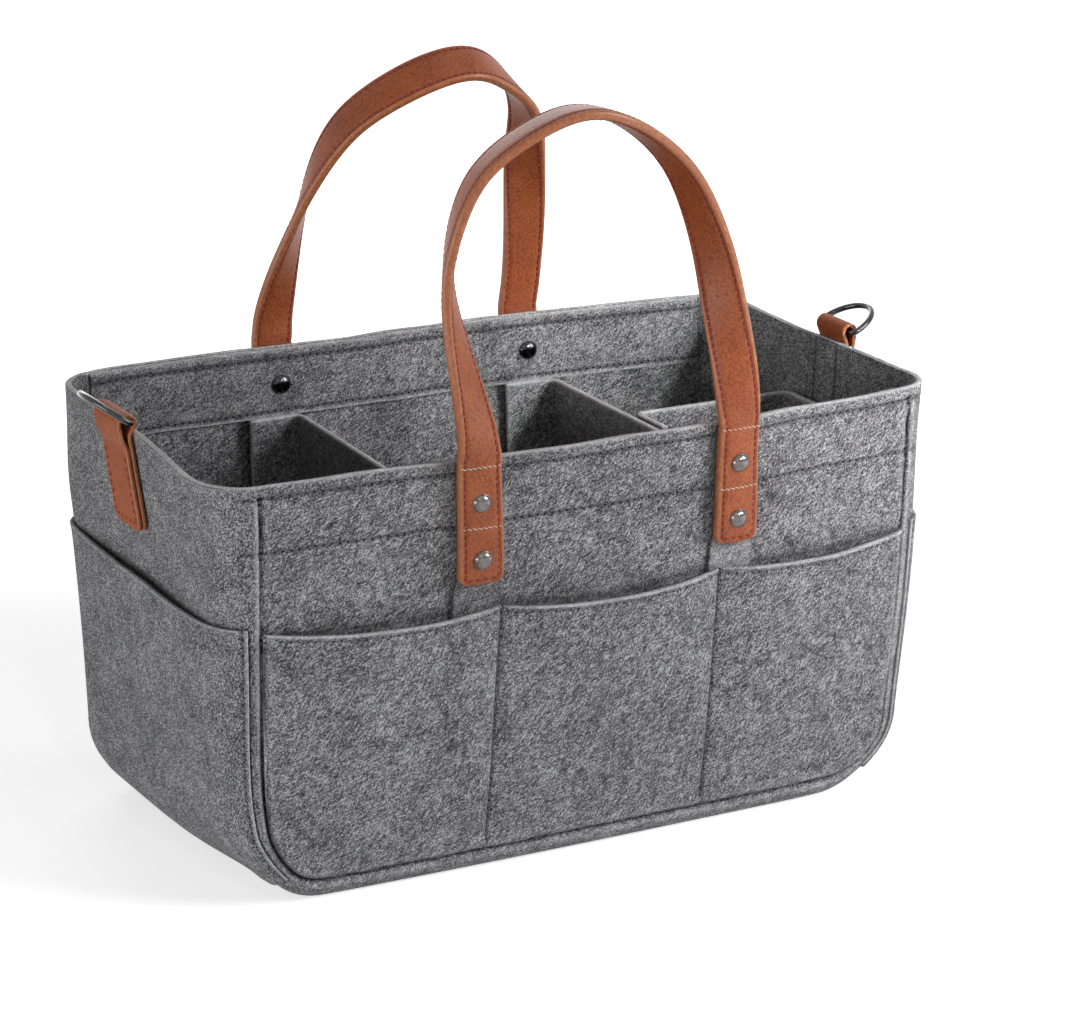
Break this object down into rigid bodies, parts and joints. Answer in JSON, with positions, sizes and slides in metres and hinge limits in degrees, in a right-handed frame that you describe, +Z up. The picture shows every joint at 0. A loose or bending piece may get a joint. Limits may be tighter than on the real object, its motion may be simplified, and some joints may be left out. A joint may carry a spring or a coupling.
{
  "type": "diaper caddy",
  "caption": "Open-topped felt caddy with re-stickable dividers, outer pockets, twisted leather strap handles riveted to the long walls, and a metal ring on a leather tab at each end.",
  "frame": {"origin": "middle of the flat base, on the surface that the caddy stands on", "axes": "+X along the length to the right, -Y to the front, +Z up"},
  "size_m": [0.3642, 0.2143, 0.3206],
  "materials": {
    "wall_felt": "needled melange felt, matte",
    "facing_felt": "thin needled felt, matte",
    "strap_leather": "smooth saddle tan with painted edges",
    "rivet_nickel": "polished dark nickel",
    "ring_metal": "polished black nickel",
    "hook_tape": "nylon hooks"
  },
  "bodies": {
    "body": {"gusset": "wall_felt", "front_panel": "wall_felt", "back_panel": "wall_felt", "front_pocket_panel": "wall_felt", "back_pocket_panel": "wall_felt", "left_end_pocket": "wall_felt", "right_end_pocket": "wall_felt", "front_rim_facing": "facing_felt", "back_rim_facing": "facing_felt", "front_left_strap_backing": "facing_felt", "front_right_strap_backing": "facing_felt", "back_left_strap_backing": "facing_felt", "back_right_strap_backing": "facing_felt", "front_left_strap_foot": "strap_leather", "front_right_strap_foot": "strap_leather", "back_left_strap_foot": "strap_leather", "back_right_strap_foot": "strap_leather", "left_ring_tab": "strap_leather", "right_ring_tab": "strap_leather", "front_left_upper_rivet": "rivet_nickel", "front_left_lower_rivet": "rivet_nickel", "front_right_upper_rivet": "rivet_nickel", "front_right_lower_rivet": "rivet_nickel", "back_left_upper_rivet": "rivet_nickel", "back_left_lower_rivet": "rivet_nickel", "back_right_upper_rivet": "rivet_nickel", "back_right_lower_rivet": "rivet_nickel", "front_left_upper_rivet_cap": "ring_metal", "front_left_lower_rivet_cap": "ring_metal", "front_right_upper_rivet_cap": "ring_metal", "front_right_lower_rivet_cap": "ring_metal", "back_left_upper_rivet_cap": "ring_metal", "back_left_lower_rivet_cap": "ring_metal", "back_right_upper_rivet_cap": "ring_metal", "back_right_lower_rivet_cap": "ring_metal"},
    "front_handle": {"front_handle_loop": "strap_leather"},
    "back_handle": {"back_handle_loop": "strap_leather"},
    "left_ring": {"left_ring": "ring_metal"},
    "right_ring": {"right_ring": "ring_metal"},
    "left_divider": {"left_divider": "wall_felt", "left_divider_front_tape": "hook_tape", "left_divider_back_tape": "hook_tape"},
    "right_divider": {"right_divider": "wall_felt", "right_divider_front_tape": "hook_tape", "right_divider_back_tape": "hook_tape"},
    "cross_divider": {"cross_divider": "wall_felt", "cross_divider_left_tape": "hook_tape", "cross_divider_right_tape": "hook_tape"}
  },
  "joints": [
    {"name": "front_handle_fold", "type": "hinge", "parent": "body", "child": "front_handle", "pos_m": [0, -0.09797, 0.1824], "axis": [1, 0, 0], "range_deg": [-43, 138]},
    {"name": "back_handle_fold", "type": "hinge", "parent": "body", "child": "back_handle", "pos_m": [0, 0.09658, 0.1824], "axis": [-1, 0, 0], "range_deg": [-30, 138]},
    {"name": "left_ring_swing", "type": "hinge", "parent": "body", "child": "left_ring", "pos_m": [-0.16625, 0.011, 0.184], "axis": [0, 1, 0], "range_deg": [-90, 168]},
    {"name": "right_ring_swing", "type": "hinge", "parent": "body", "child": "right_ring", "pos_m": [0.16625, -0.005, 0.184], "axis": [0, -1, 0], "range_deg": [-92, 175]},
    {"name": "left_divider_slide", "type": "slide", "parent": "body", "child": "left_divider", "axis": [1, 0, 0], "range_m": [0, 0.05]},
    {"name": "right_divider_slide", "type": "slide", "parent": "body", "child": "right_divider", "axis": [-1, 0, 0], "range_m": [0, 0.03]},
    {"name": "cross_divider_slide", "type": "slide", "parent": "right_divider", "child": "cross_divider", "axis": [0, 1, 0], "range_m": [-0.03, 0.03]}
  ]
}
